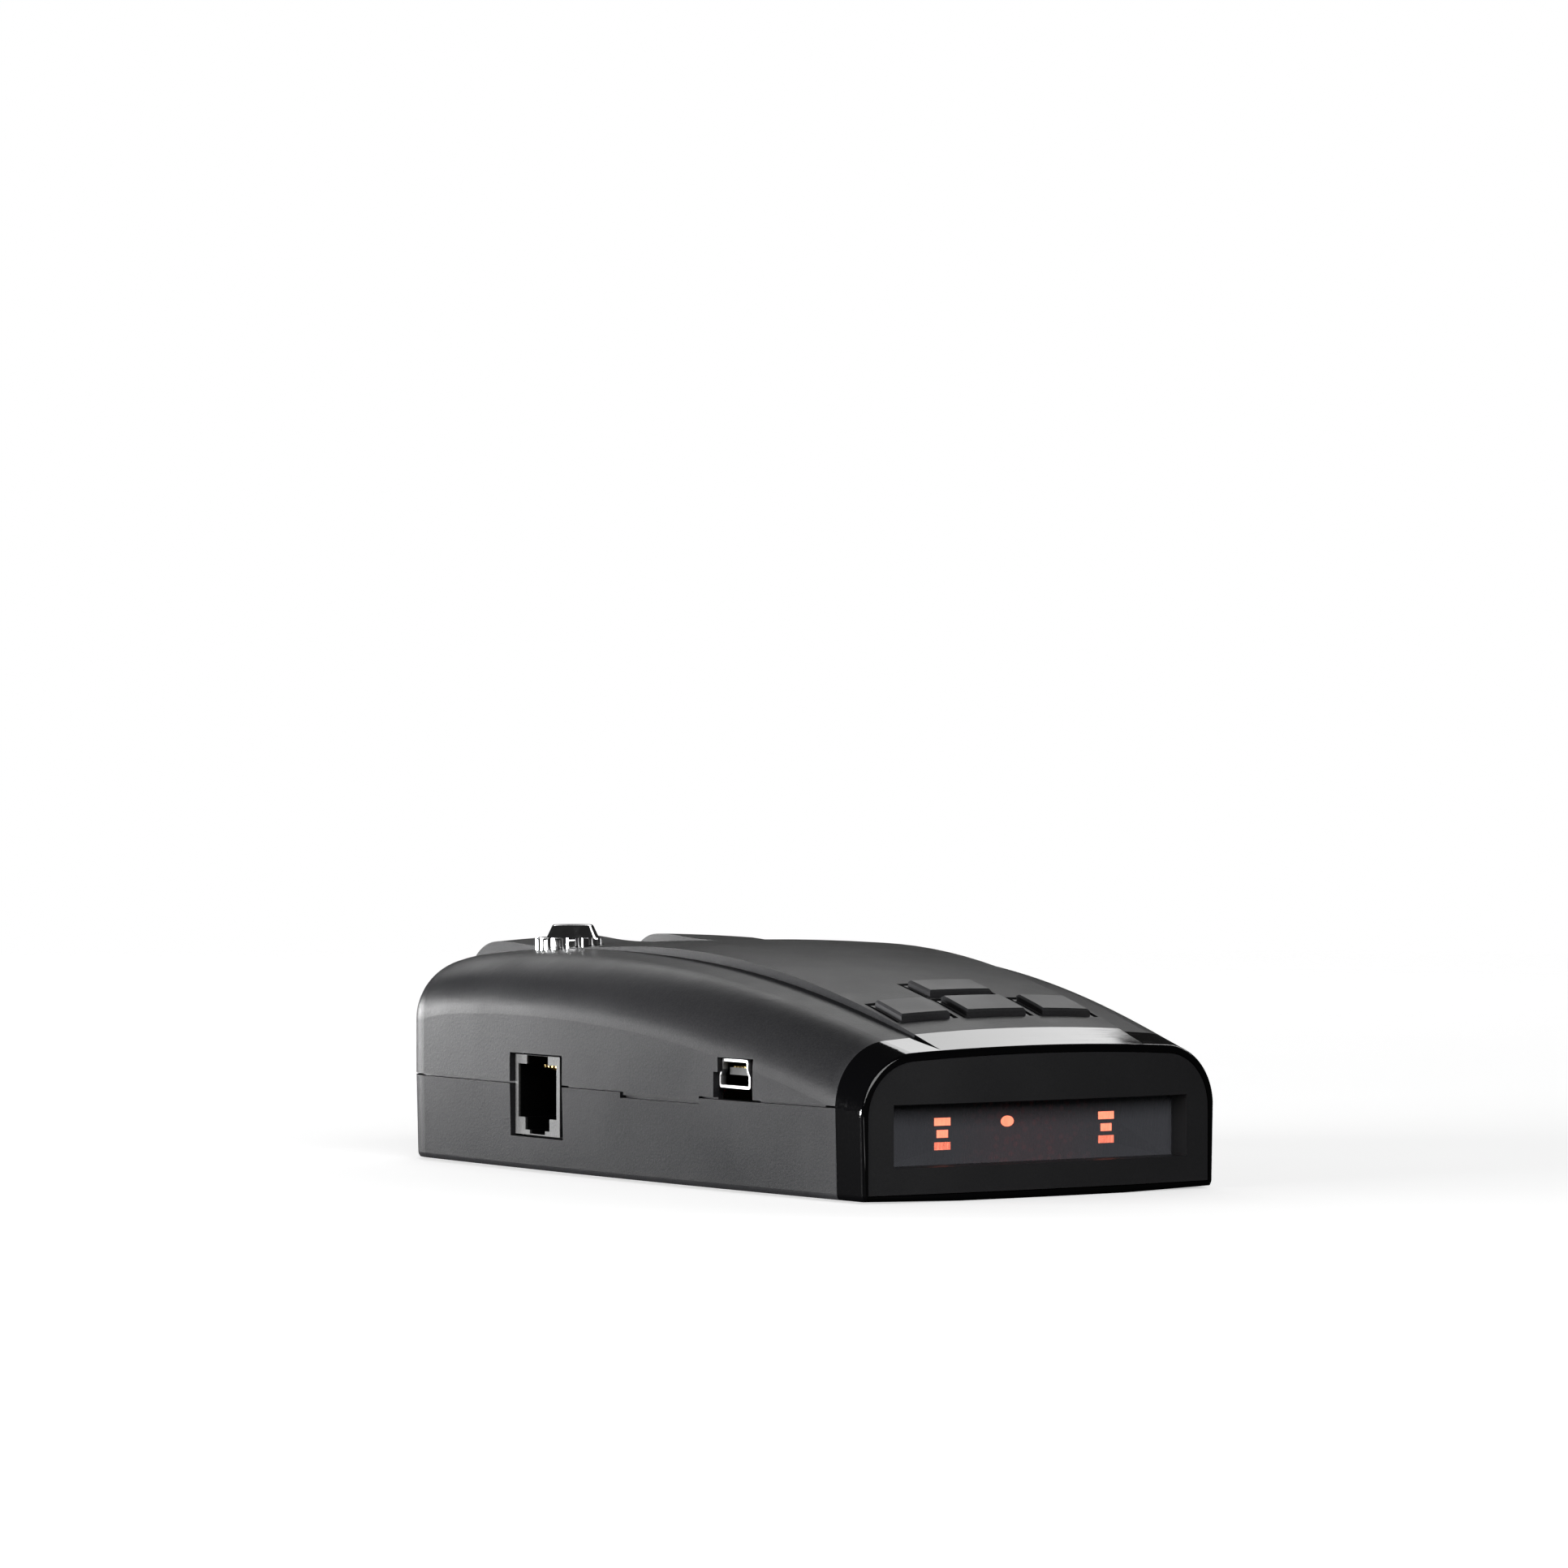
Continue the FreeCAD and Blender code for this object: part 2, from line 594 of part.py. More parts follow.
def jack_mouth(depth):
    x0 = JACK_FACE_X
    mouth = box(x0 - 1, x0 + depth, JACK_Y - JACK_MOUTH_HALF, JACK_Y + JACK_MOUTH_HALF,
                JACK_MOUTH_LOW, JACK_MOUTH_HIGH)
    top = box(x0 - 1, x0 + depth, JACK_Y - 3.0, JACK_Y + 3.0, JACK_MOUTH_HIGH - 1, JACK_NOSE_HIGH - 0.02)
    wide_step = box(x0 - 1, x0 + depth, JACK_Y - 3.45, JACK_Y + 3.45, 5.6, JACK_MOUTH_LOW + 1)
    slim_step = box(x0 - 1, x0 + depth, JACK_Y - 2.15, JACK_Y + 2.15, JACK_NOSE_LOW + 0.15, 6.5)
    return fused([mouth, top, wide_step, slim_step])


def make_phone_jack():
    x0 = JACK_FACE_X
    inside = -side_x(JACK_Y - 8, WALL) + 0.4
    nose = box(x0, inside + 1, JACK_Y - JACK_NOSE_HALF, JACK_Y + JACK_NOSE_HALF,
               JACK_NOSE_LOW, JACK_NOSE_HIGH)
    body = box(inside, x0 + JACK_DEPTH, JACK_Y - 7.0, JACK_Y + 7.0, JACK_NOSE_LOW - 0.8, BOARD_Z)
    housing = nose.fuse(body).cut(jack_mouth(JACK_MOUTH_DEPTH))
    save("phone_jack", housing.removeSplitter())
    contacts = []
    for step in (-1.5, -0.5, 0.5, 1.5):
        y = JACK_Y + step * 1.02
        back = x0 + JACK_MOUTH_DEPTH
        rest = box(x0 + 2.2, back, y - 0.2, y + 0.2, JACK_MOUTH_HIGH - 0.5, JACK_MOUTH_HIGH - 0.1)
        outline = [(x0 + 2.2, y - 0.2, JACK_MOUTH_HIGH - 0.3), (back - 1.0, y - 0.2, 11.6),
                   (back - 0.6, y - 0.2, 11.6), (x0 + 2.9, y - 0.2, JACK_MOUTH_HIGH - 0.3)]
        contacts.append(rest.fuse(extruded(outline, (0, 0.4, 0))).removeSplitter())
    save("jack_contacts", Part.Compound(contacts))


def usb_profile(shrink, x, depth):
    wide = USB_HALF_WIDE - shrink
    narrow = USB_HALF_NARROW - shrink
    low = USB_LOW + shrink
    high = USB_HIGH - shrink
    outline = [(x, USB_Y - wide, low), (x, USB_Y + wide, low), (x, USB_Y + wide, 15.6),
               (x, USB_Y + narrow, 16.5), (x, USB_Y + narrow, high), (x, USB_Y - narrow, high),
               (x, USB_Y - narrow, 16.5), (x, USB_Y - wide, 15.6)]
    solid = extruded(outline, (depth, 0, 0))
    ends = [edge for edge in solid.Edges if abs(edge.BoundBox.XLength - depth) < 1e-6]
    return solid.makeFillet(0.45 - shrink * 0.5, ends)


def make_usb():
    x0 = USB_FACE_X
    shell = usb_profile(0, x0, USB_DEPTH).cut(usb_profile(USB_WALL, x0 - 1, USB_DEPTH + 0.6))
    save("usb_shell", shell)
    x1 = x0 + USB_DEPTH - 0.4
    tongue = box(x0 + 0.9, x1, USB_Y - 2.6, USB_Y + 2.6, 15.75, 16.75)
    save("usb_tongue", tongue)
    contacts = [box(x0 + 1.2, x1, USB_Y + step * 0.9 - 0.25, USB_Y + step * 0.9 + 0.25, 16.75, 16.9)
                for step in range(-2, 3)]
    save("usb_contacts", Part.Compound(contacts))


def make_horn():
    y0, y1, y2 = HORN_Y
    narrow, wide = HORN_HALF
    w = HORN_WALL
    outer = [(-narrow, y0, FLOOR_Z), (narrow, y0, FLOOR_Z), (narrow, y1, FLOOR_Z), (wide, y2, FLOOR_Z),
             (-wide, y2, FLOOR_Z), (-narrow, y1, FLOOR_Z)]
    inner = [(-narrow + w, y0 + w, FLOOR_Z + w), (narrow - w, y0 + w, FLOOR_Z + w),
             (narrow - w, y1, FLOOR_Z + w), (wide - w, y2 + 0.1, FLOOR_Z + w),
             (-wide + w, y2 + 0.1, FLOOR_Z + w), (-narrow + w, y1, FLOOR_Z + w)]
    horn = extruded(outer, (0, 0, HORN_TOP_Z - FLOOR_Z))
    horn = horn.cut(extruded(inner, (0, 0, HORN_TOP_Z - FLOOR_Z - 2 * w)))
    save("horn_antenna", horn)
    save("rf_board", box(-13, 13, y0 - 1.0, y0, 3.0, 17.0))
    can = box(-10, 10, y0 - 4.2, y0 - 1.0, 4.5, 15.5)
    save("rf_shield", can.cut(box(-9.6, 9.6, y0 - 3.8, y0, 4.9, 15.1)))


def make_laser_eye():
    save("laser_board", box(18.6, 25.4, 53.0, 54.0, 8.0, 20.5))
    tube = eye_axis(EYE_R + 0.4, 54.0, 57.2).cut(eye_axis(EYE_R - 0.4, 53.0, 58.0))
    save("laser_tube", tube)
    front = front_y(EYE_X, 0.3)
    lens = eye_axis(EYE_R, 57.2, front)
    lens = lens.makeFillet(0.5, [edge for edge in lens.Edges if edge.BoundBox.YMin > front - 0.01])
    save("laser_lens", lens)
    diode = box(EYE_X - 1.6, EYE_X + 1.6, 54.0, 55.3, EYE_Z - 1.6, EYE_Z + 1.6)
    save("laser_sensor", diode)


def revolved(points):
    wire = Part.makePolygon([Vector(r, 0, z) for r, z in points + points[:1]])
    solid = Part.Face(wire).revolve(Vector(0, 0, 0), Vector(0, 0, 1), 360)
    solid.translate(Vector(SPEAKER_X, SPEAKER_Y, 0))
    return solid


def make_speaker():
    r = SPEAKER_R
    save("speaker_gasket", revolved([(r - 1.6, 1.6), (r, 1.6), (r, 2.1), (r - 1.6, 2.1)]))
    cone = revolved([(4.0, 4.6), (r - 2.1, 2.1), (r - 0.2, 2.1), (r - 0.2, 2.35), (r - 2.0, 2.35), (4.2, 4.9),
                     (4.2, 6.1), (3.9, 6.1), (3.9, 4.9), (0.0, 3.9), (0.0, 3.6)])
    save("speaker_cone", cone)
    frame = revolved([(r - 1.6, 2.35), (r, 2.35), (r, 3.1), (r - 1.0, 3.1), (8.6, 6.4), (8.6, 6.8), (5.2, 6.8),
                      (5.2, 6.2), (8.0, 6.2), (r - 1.6, 2.85)])
    save("speaker_frame", frame)
    save("speaker_magnet", revolved([(0.0, 6.8), (8.0, 6.8), (8.0, 10.2), (0.0, 10.2)]))


def lead(points, radius):
    spine = Part.BSplineCurve()
    spine.interpolate([Vector(*point) for point in points])
    path = Part.Wire([spine.toShape()])
    start = Vector(*points[0])
    tangent = spine.tangent(spine.FirstParameter)[0]
    ring = Part.Wire([Part.makeCircle(radius, start, tangent)])
    return path.makePipeShell([ring], True, True)


def make_speaker_leads():
    leads = []
    for side in (0.0, 1.5):
        x = SPEAKER_X + 5.0
        y = SPEAKER_Y + 8.6 + side
        leads.append(lead([(x, y, 7.3), (x + 5, y + 1, 8.4), (x + 11, y + 2, 13), (x + 12, y + 2, BOARD_Z)], 0.45))
    save("speaker_leads", Part.Compound(leads))


# ---- mount slot and release -------------------------------------------------------------

def make_mount_channel(outer):
    fit = 0.02
    block = outer.common(box(-CHANNEL_HALF + fit, CHANNEL_HALF - fit, CHANNEL_Y + fit, 70, CHANNEL_Z + fit, 45))
    neck = box(-SLOT_NECK_HALF, SLOT_NECK_HALF, SLOT_Y, 70, SLOT_FLOOR_Z, 45)
    track = box(-SLOT_HALF, SLOT_HALF, SLOT_Y, 70, SLOT_FLOOR_Z, SLOT_LIP_Z)
    window = box(-PAWL_HALF_X - 0.3, PAWL_HALF_X + 0.3, PAWL_Y - PAWL_HALF_Y - 0.3,
                 PAWL_Y + PAWL_HALF_Y + 0.3, 20, 30)
    save("mount_channel", block.cut(Part.Compound([neck, track, window])))


def make_release():
    tier = post(BUTTON_X, BUTTON_Y, BUTTON_R, BUTTON_LOW_Z, BUTTON_STEP_Z)
    flutes = []
    for step in range(BUTTON_LOBES):
        turn = 2 * math.pi * step / BUTTON_LOBES
        reach = BUTTON_R + BUTTON_FLUTE_R * 0.35
        flutes.append(post(BUTTON_X + reach * math.cos(turn), BUTTON_Y + reach * math.sin(turn),
                           BUTTON_FLUTE_R, BUTTON_LOW_Z - 1, BUTTON_STEP_Z + 1))
    crown = Part.makeCone(3.9, 3.0, BUTTON_TOP_Z - BUTTON_STEP_Z, Vector(BUTTON_X + 0.7, BUTTON_Y, BUTTON_STEP_Z))
    crown = crown.makeFillet(0.4, [edge for edge in crown.Edges if edge.BoundBox.ZMin > BUTTON_TOP_Z - 0.1])
    tier = tier.makeFillet(0.4, [edge for edge in tier.Edges if edge.BoundBox.ZMin > BUTTON_STEP_Z - 0.1])
    stem = post(BUTTON_X, BUTTON_Y, STEM_R, LATCH_Z + LATCH_T, BUTTON_LOW_Z + 0.5)
    button = tier.cut(Part.Compound(flutes)).fuse(crown).fuse(stem)
    pilot = post(BUTTON_X, BUTTON_Y, 0.95, LATCH_Z, LATCH_Z + 5.0)
    save("release_button", button.cut(pilot).removeSplitter())
    low = LATCH_Z
    high = LATCH_Z + LATCH_T
    plate = box(BUTTON_X - 3.6, BUTTON_X + 3.6, BUTTON_Y - 3.6, BUTTON_Y + 3.6, low, high)
    arm = extruded([(BUTTON_X, BUTTON_Y - 3.0, low), (PAWL_HALF_X, PAWL_Y - PAWL_HALF_Y, low),
                    (PAWL_HALF_X, PAWL_Y + PAWL_HALF_Y, low), (BUTTON_X, BUTTON_Y + 3.6, low)],
                   (0, 0, high - low))
    pawl = extruded([(-PAWL_HALF_X, PAWL_Y - PAWL_HALF_Y, low), (-PAWL_HALF_X, PAWL_Y + PAWL_HALF_Y, low),
                     (-PAWL_HALF_X, PAWL_Y + PAWL_HALF_Y, SLOT_FLOOR_Z),
                     (-PAWL_HALF_X, PAWL_Y - 1.0, PAWL_TOP_Z), (-PAWL_HALF_X, PAWL_Y - PAWL_HALF_Y, PAWL_TOP_Z)],
                    (2 * PAWL_HALF_X, 0, 0))
    hole = post(BUTTON_X, BUTTON_Y, 1.0, low - 1, high + 1)
    save("latch_plate", plate.fuse(arm).fuse(pawl).cut(hole).removeSplitter())
    head = post(BUTTON_X, BUTTON_Y, 1.9, low - 1.0, low)
    slot = box(BUTTON_X - 2, BUTTON_X + 2, BUTTON_Y - 0.25, BUTTON_Y + 0.25, low - 1.1, low - 0.5)
    save("latch_screw", head.cut(slot).fuse(post(BUTTON_X, BUTTON_Y, 0.9, low, low + 4.6)))


def make_spring():
    height = LATCH_Z - SPRING_LOW_Z - 2 * SPRING_WIRE_R
    pitch = height / SPRING_TURNS
    helix = Part.makeHelix(pitch, height, SPRING_R)
    circle = Part.Circle(Vector(SPRING_R, 0, 0), Vector(0, 1, 0), SPRING_WIRE_R)
    quarters = [Part.Arc(circle, i * math.pi / 2, (i + 1) * math.pi / 2).toShape() for i in range(4)]
    ring = Part.Wire(quarters)
    spring = Part.Wire(helix.Edges).makePipeShell([ring], True, True)
    spring.translate(Vector(BUTTON_X, BUTTON_Y, SPRING_LOW_Z + SPRING_WIRE_R))
    save("latch_spring", spring)


# ---- fasteners and label ----------------------------------------------------------------

def make_case_screws():
    screws = []
    for x, y in screw_spots():
        head = post(x, y, SCREW_HEAD_R, SCREW_HEAD_Z, SCREW_SEAT_Z)
        cross = [box(x - 1.3, x + 1.3, y - 0.3, y + 0.3, SCREW_HEAD_Z - 1, SCREW_HEAD_Z + 1.0),
                 box(x - 0.3, x + 0.3, y - 1.3, y + 1.3, SCREW_HEAD_Z - 1, SCREW_HEAD_Z + 1.0)]
        shank = post(x, y, SCREW_R, SCREW_SEAT_Z, SCREW_END_Z)
        screws.append(head.cut(Part.Compound(cross)).fuse(shank))
    save("case_screws", Part.Compound(screws))


def make_label():
    top = -SAG + LABEL_RECESS
    save("blank_label", box(-LABEL_HALF_X + 0.3, LABEL_HALF_X - 0.3, LABEL_Y[0] + 0.3, LABEL_Y[1] - 0.3,
                            top - LABEL_T, top))


form = outer_form()
save("upper_case", make_upper_case(form))
save("lower_case", make_lower_case(form))
save("display_bezel", make_bezel(form))
save("face_panel", make_face_panel())
make_display()
make_keys()
make_key_switches()
make_main_board()
make_board_parts()
make_phone_jack()
make_usb()
make_horn()
make_laser_eye()
make_speaker()
make_speaker_leads()
make_mount_channel(form)
make_release()
make_spring()
make_case_screws()
make_label()
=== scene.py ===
import json
import math

import bpy
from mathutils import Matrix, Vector


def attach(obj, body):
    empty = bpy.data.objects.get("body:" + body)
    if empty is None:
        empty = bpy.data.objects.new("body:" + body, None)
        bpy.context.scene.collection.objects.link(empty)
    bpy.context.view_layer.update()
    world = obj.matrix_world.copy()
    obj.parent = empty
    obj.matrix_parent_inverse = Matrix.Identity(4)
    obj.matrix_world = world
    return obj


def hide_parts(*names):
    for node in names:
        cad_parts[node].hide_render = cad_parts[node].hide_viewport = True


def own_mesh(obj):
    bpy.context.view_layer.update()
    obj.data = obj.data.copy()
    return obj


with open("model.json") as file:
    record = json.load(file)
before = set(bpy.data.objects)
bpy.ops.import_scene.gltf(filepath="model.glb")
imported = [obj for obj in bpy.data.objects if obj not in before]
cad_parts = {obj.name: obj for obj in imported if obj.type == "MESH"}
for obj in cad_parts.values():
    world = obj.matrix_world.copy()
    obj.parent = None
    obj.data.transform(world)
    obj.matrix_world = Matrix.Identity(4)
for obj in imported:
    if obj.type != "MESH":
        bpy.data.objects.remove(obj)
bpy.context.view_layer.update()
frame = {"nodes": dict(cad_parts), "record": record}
nodes = frame["nodes"]

MM = 0.001

CAMERA_PLACE = (-0.4485, -0.68095, 0.0565)
CAMERA_TURN = math.radians(-33.16)
CAMERA_LENS = 128.34
FLOOR_RADIUS = 1.2
JACK_FACE_X = -33.85
USB_FACE_X = -31.6


# ---- node helpers -----------------------------------------------------------------------

class Shader:
    """One material's node tree, with short calls for the nodes that are used again and again."""

    def __init__(self, name):
        self.material = bpy.data.materials.new(name)
        self.material.use_nodes = True
        self.tree = self.material.node_tree
        self.bsdf = self.tree.nodes["Principled BSDF"]
        self.place = self.tree.nodes.new("ShaderNodeTexCoord").outputs["Object"]

    def add(self, kind, **settings):
        node = self.tree.nodes.new(kind)
        for key, value in settings.items():
            setattr(node, key, value)
        return node

    def link(self, source, target):
        self.tree.links.new(source, target)

    def noise(self, size, detail=3.0, roughness=0.6, stretch=(1, 1, 1)):
        mapping = self.add("ShaderNodeMapping")
        mapping.inputs["Scale"].default_value = stretch
        self.link(self.place, mapping.inputs["Vector"])
        texture = self.add("ShaderNodeTexNoise")
        texture.inputs["Scale"].default_value = 1.0 / size
        texture.inputs["Detail"].default_value = detail
        texture.inputs["Roughness"].default_value = roughness
        self.link(mapping.outputs["Vector"], texture.inputs["Vector"])
        return texture.outputs["Fac"]

    def cells(self, size, feature="F1"):
        texture = self.add("ShaderNodeTexVoronoi", feature=feature)
        texture.inputs["Scale"].default_value = 1.0 / size
        self.link(self.place, texture.inputs["Vector"])
        return texture.outputs["Distance"]

    def ramp(self, source, low, high, out_low, out_high):
        node = self.add("ShaderNodeMapRange")
        node.inputs["From Min"].default_value = low
        node.inputs["From Max"].default_value = high
        node.inputs["To Min"].default_value = out_low
        node.inputs["To Max"].default_value = out_high
        self.link(source, node.inputs["Value"])
        return node.outputs["Result"]

    def mix(self, factor, first, second):
        node = self.add("ShaderNodeMix", data_type="RGBA")
        self.link(factor, node.inputs["Factor"])
        for name, value in (("A", first), ("B", second)):
            socket = [s for s in node.inputs if s.name == name and s.type == "RGBA"][0]
            if isinstance(value, tuple):
                socket.default_value = value + (1.0,)
            else:
                self.link(value, socket)
        return [s for s in node.outputs if s.type == "RGBA"][0]

    def maths(self, operation, first, second):
        node = self.add("ShaderNodeMath", operation=operation)
        for socket, value in zip(node.inputs, (first, second)):
            if isinstance(value, (int, float)):
                socket.default_value = value
            else:
                self.link(value, socket)
        return node.outputs[0]

    def bump(self, height, depth, strength=1.0, base=None):
        node = self.add("ShaderNodeBump")
        node.inputs["Distance"].default_value = depth
        node.inputs["Strength"].default_value = strength
        self.link(height, node.inputs["Height"])
        if base is not None:
            self.link(base, node.inputs["Normal"])
        return node.outputs["Normal"]

    def set(self, **values):
        for key, value in values.items():
            self.bsdf.inputs[key.replace("_", " ")].default_value = value

    def edge_wear(self, low=0.52, high=0.62):
        pointiness = self.add("ShaderNodeNewGeometry").outputs["Pointiness"]
        return self.ramp(pointiness, low, high, 0.0, 1.0)


# ---- materials --------------------------------------------------------------------------

def moulded(name, dark, light, roughness, grain, depth, wear=0.0, index=1.5):
    """Moulded plastic: spark-eroded grain, cloudy tone, uneven sheen and paler worn edges."""
    s = Shader(name)
    s.set(IOR=index)
    cloud = s.noise(9 * MM, 2.0, 0.5)
    speck = s.noise(grain * MM, 2.0, 0.7)
    pits = s.cells(grain * 2.2 * MM)
    colour = s.mix(s.ramp(speck, 0.3, 0.75, 0.0, 1.0), dark, light)
    if wear:
        worn = tuple(4 * c for c in light)
        colour = s.mix(s.maths("MULTIPLY", s.edge_wear(), wear), colour, worn)
    s.link(colour, s.bsdf.inputs["Base Color"])
    sheen = s.ramp(cloud, 0.3, 0.7, roughness - 0.03, roughness + 0.04)
    s.link(s.maths("ADD", sheen, s.ramp(speck, 0.2, 0.8, -0.03, 0.03)), s.bsdf.inputs["Roughness"])
    fine = s.bump(speck, depth * MM, 0.8)
    s.link(s.bump(pits, depth * 0.5 * MM, 0.5, fine), s.bsdf.inputs["Normal"])
    return s


def painted_shade_inside(s, mouth, depth):
    """Painted shade: turn a left-wall socket's colour to black behind its mouth, where little light
    gets in, and dim its specular there too.
    The mouth's X and the depth over which the painted shade deepens are in millimetres."""
    split = s.add("ShaderNodeSeparateXYZ")
    s.link(s.place, split.inputs["Vector"])
    # painted shade mask: 0 at the mouth, 1 at the given depth inside
    inside = s.ramp(split.outputs["X"], mouth * MM, (mouth + depth) * MM, 0.0, 1.0)
    colour = s.bsdf.inputs["Base Color"].links[0].from_socket
    # painted shade: colour goes black and specular dims deeper in the socket
    s.link(s.mix(inside, colour, (0.001, 0.001, 0.001)), s.bsdf.inputs["Base Color"])
    s.link(s.ramp(inside, 0.0, 1.0, 0.5, 0.05), s.bsdf.inputs["Specular IOR Level"])
    return s


def polished(name, colour, roughness, ripple=0.004):
    """Polished plastic: a faint ripple from the mould, hairline scratches and specks of dust."""
    s = Shader(name)
    scratches = s.noise(0.5 * MM, 4.0, 0.7, (0.05, 1.0, 1.0))
    dust = s.cells(0.9 * MM)
    rough = s.ramp(scratches, 0.45, 0.75, roughness, roughness + 0.07)
    dusty = s.ramp(dust, 0.0, 0.04, 0.12, 0.0)
    s.link(s.maths("ADD", rough, dusty), s.bsdf.inputs["Roughness"])
    tint = s.mix(s.noise(14 * MM, 2.0), colour, tuple(1.25 * c for c in colour))
    s.link(tint, s.bsdf.inputs["Base Color"])
    s.link(s.bump(s.noise(5 * MM, 1.0), ripple * MM, 1.0), s.bsdf.inputs["Normal"])
    return s


def metal(name, colour, roughness, grain=0.4, depth=0.01, stretch=(1, 1, 1), tarnish=0.75):
    """Bare or plated metal: grain along one way, cloudy tarnish and brighter rubbed edges."""
    s = Shader(name)
    s.set(Metallic=1.0)
    cloud = s.noise(3.5 * MM, 3.0, 0.6)
    lines = s.noise(grain * MM, 3.0, 0.6, stretch)
    dull = tuple(c * tarnish for c in colour)
    tone = s.mix(s.ramp(cloud, 0.35, 0.7, 0.0, 1.0), colour, dull)
    bright = tuple(min(1.0, c * 1.15) for c in colour)
    rubbed = s.maths("MULTIPLY", s.edge_wear(), 0.6)
    s.link(s.mix(rubbed, tone, bright), s.bsdf.inputs["Base Color"])
    smoothest = max(0.02, roughness - 0.05)
    s.link(s.ramp(lines, 0.25, 0.75, smoothest, roughness + 0.08), s.bsdf.inputs["Roughness"])
    s.link(s.bump(lines, depth * MM, 0.7), s.bsdf.inputs["Normal"])
    return s


def circuit_board(name):
    """Green solder mask over copper tracks, with bare pads showing here and there."""
    s = Shader(name)
    split = s.add("ShaderNodeSeparateXYZ")
    s.link(s.place, split.inputs["Vector"])
    wobble = s.ramp(s.noise(6 * MM, 1.0), 0.0, 1.0, -2.2 * MM, 2.2 * MM)
    tracks = []
    for axis in ("X", "Y", "Z"):
        shifted = s.maths("ADD", split.outputs[axis], wobble)
        wave = s.maths("SINE", s.maths("MULTIPLY", shifted, 2 * math.pi / (1.3 * MM)), 0)
        tracks.append(s.ramp(wave, 0.35, 0.5, 0.0, 1.0))
    pick = s.ramp(s.noise(11 * MM, 0.0), 0.49, 0.51, 0.0, 1.0)
    flat = s.maths("ADD", s.maths("MULTIPLY", tracks[0], pick),
                   s.maths("MULTIPLY", tracks[1], s.maths("SUBTRACT", 1.0, pick)))
    green = s.mix(flat, (0.006, 0.055, 0.022), (0.014, 0.115, 0.045))
    pads = s.ramp(s.cells(2.6 * MM), 0.11, 0.13, 1.0, 0.0)
    s.link(s.mix(pads, green, (0.72, 0.62, 0.38)), s.bsdf.inputs["Base Color"])
    s.link(s.ramp(pads, 0.0, 1.0, 0.0, 0.9), s.bsdf.inputs["Metallic"])
    s.link(s.ramp(s.noise(2 * MM), 0.3, 0.7, 0.22, 0.34), s.bsdf.inputs["Roughness"])
    s.link(s.bump(flat, 0.03 * MM, 0.8), s.bsdf.inputs["Normal"])
    return s


def smoked_window(name):
    """Grey smoked acrylic with a matt coat, thin enough for the marks behind it to glow through."""
    s = Shader(name)
    haze = s.noise(7 * MM, 2.0, 0.5)
    s.link(s.mix(haze, (0.13, 0.133, 0.150), (0.155, 0.158, 0.176)), s.bsdf.inputs["Base Color"])
    s.link(s.ramp(s.noise(0.3 * MM, 3.0, 0.7), 0.3, 0.7, 0.30, 0.40), s.bsdf.inputs["Roughness"])
    s.link(s.bump(s.noise(0.12 * MM, 2.0), 0.003 * MM, 0.6), s.bsdf.inputs["Normal"])
    s.set(Alpha=0.5)
    return s


def lit_marks(name):
    """Glowing marks whose heat varies a little in a fine noise."""
    s = Shader(name)
    s.set(Roughness=0.5, Emission_Strength=3.6)
    heat = s.ramp(s.noise(0.8 * MM, 1.0), 0.3, 0.7, 0.0, 1.0)
    s.link(s.mix(heat, (1.0, 0.21, 0.115), (1.0, 0.25, 0.14)), s.bsdf.inputs["Emission Color"])
    s.link(s.mix(heat, (0.6, 0.08, 0.05), (0.7, 0.12, 0.07)), s.bsdf.inputs["Base Color"])
    return s


def light_block(name):
    """Dark block behind the window, faintly red in a dotted cell pattern that fades out between 4
    and 13 mm from its middle.
    """
    s = Shader(name)
    split = s.add("ShaderNodeSeparateXYZ")
    s.link(s.place, split.inputs["Vector"])
    away = s.maths("ABSOLUTE", s.maths("ADD", split.outputs["X"], -1.0 * MM), 0)
    middle = s.ramp(away, 4 * MM, 13 * MM, 1.0, 0.0)
    dots = s.ramp(s.cells(1.1 * MM), 0.2, 0.5, 1.0, 0.4)
    s.link(s.mix(s.maths("MULTIPLY", middle, dots), (0.055, 0.057, 0.068), (0.46, 0.09, 0.10)),
           s.bsdf.inputs["Base Color"])
    s.link(s.ramp(s.noise(0.5 * MM), 0.3, 0.7, 0.5, 0.65), s.bsdf.inputs["Roughness"])
    s.link(s.bump(s.cells(1.1 * MM), 0.05 * MM, 0.4), s.bsdf.inputs["Normal"])
    return s


def ceramic(name):
    s = Shader(name)
    grain = s.noise(0.35 * MM, 4.0, 0.7)
    s.link(s.mix(grain, (0.42, 0.33, 0.20), (0.62, 0.52, 0.36)), s.bsdf.inputs["Base Color"])
    s.link(s.ramp(grain, 0.3, 0.7, 0.45, 0.62), s.bsdf.inputs["Roughness"])
    s.link(s.bump(grain, 0.02 * MM, 0.8), s.bsdf.inputs["Normal"])
    return s


def pulp(name, dark, light, ridge=0.05):
    s = Shader(name)
    fibre = s.noise(0.5 * MM, 4.0, 0.75, (1.0, 0.25, 1.0))
    s.link(s.mix(fibre, dark, light), s.bsdf.inputs["Base Color"])
    s.link(s.ramp(fibre, 0.3, 0.7, 0.7, 0.9), s.bsdf.inputs["Roughness"])
    s.link(s.bump(fibre, ridge * MM, 0.8), s.bsdf.inputs["Normal"])
    return s


